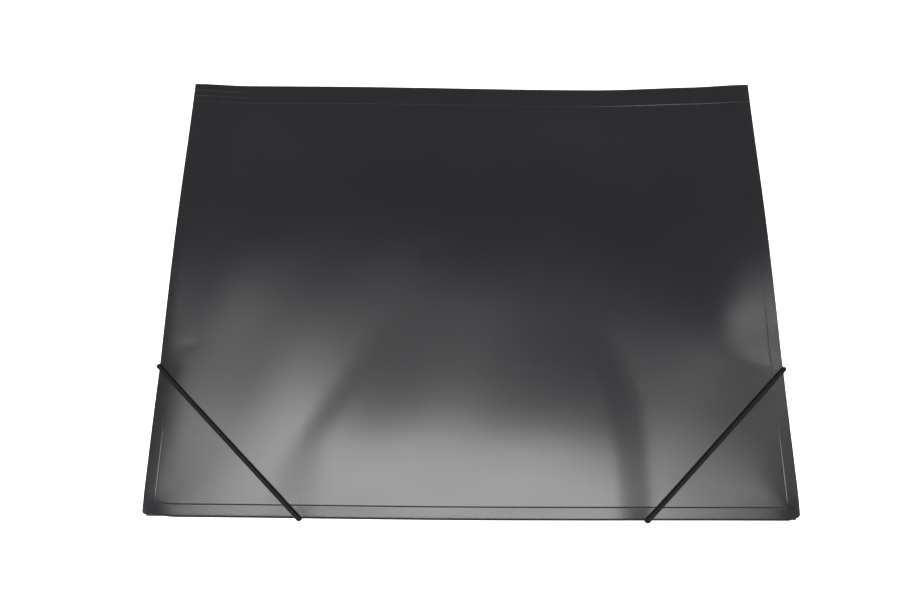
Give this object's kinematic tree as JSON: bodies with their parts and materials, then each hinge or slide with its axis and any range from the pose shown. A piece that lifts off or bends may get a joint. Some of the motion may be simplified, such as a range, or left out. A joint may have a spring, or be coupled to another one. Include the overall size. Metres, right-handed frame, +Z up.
{
  "type": "elastic-corner drawing folder",
  "caption": "Landscape A3 folder folded from black polypropylene, with folded-in inner flaps and round elastics across the corners of its opening edge.",
  "frame": {"origin": "middle of the underside of the back panel, which the folder lies on", "axes": "+X along the spine, +Y from the opening edge to the spine, +Z up through the front cover"},
  "size_m": [0.4484, 0.3367, 0.0118],
  "materials": {
    "sheet_outside": "satin black polypropylene with a fine grain",
    "sheet_inside": "matt black polypropylene with a fine grain",
    "elastic": "black braided elastic cord",
    "ferrule": "nickel-plated crimped steel"
  },
  "bodies": {
    "back": {"back_cover": "sheet_inside", "left_elastic": "elastic", "right_elastic": "elastic", "left_elastic_side_ferrule": "ferrule", "left_elastic_opening_ferrule": "ferrule", "right_elastic_side_ferrule": "ferrule", "right_elastic_opening_ferrule": "ferrule"},
    "spine": {"spine": "sheet_outside"},
    "front": {"front_cover": "sheet_outside"}
  },
  "joints": [
    {"name": "back_fold", "type": "hinge", "parent": "back", "child": "spine", "pos_m": [0, 0.16715, 0.00035], "axis": [-1, 0, 0], "range_deg": [0, 88]},
    {"name": "cover_fold", "type": "hinge", "parent": "spine", "child": "front", "pos_m": [0, 0.16715, 0.01015], "axis": [-1, 0, 0], "range_deg": [0, 88], "deforming": ["left_elastic", "right_elastic"]}
  ],
  "couplings": [
    {"joint": "back_fold", "follows": "cover_fold", "ratio": 1}
  ]
}
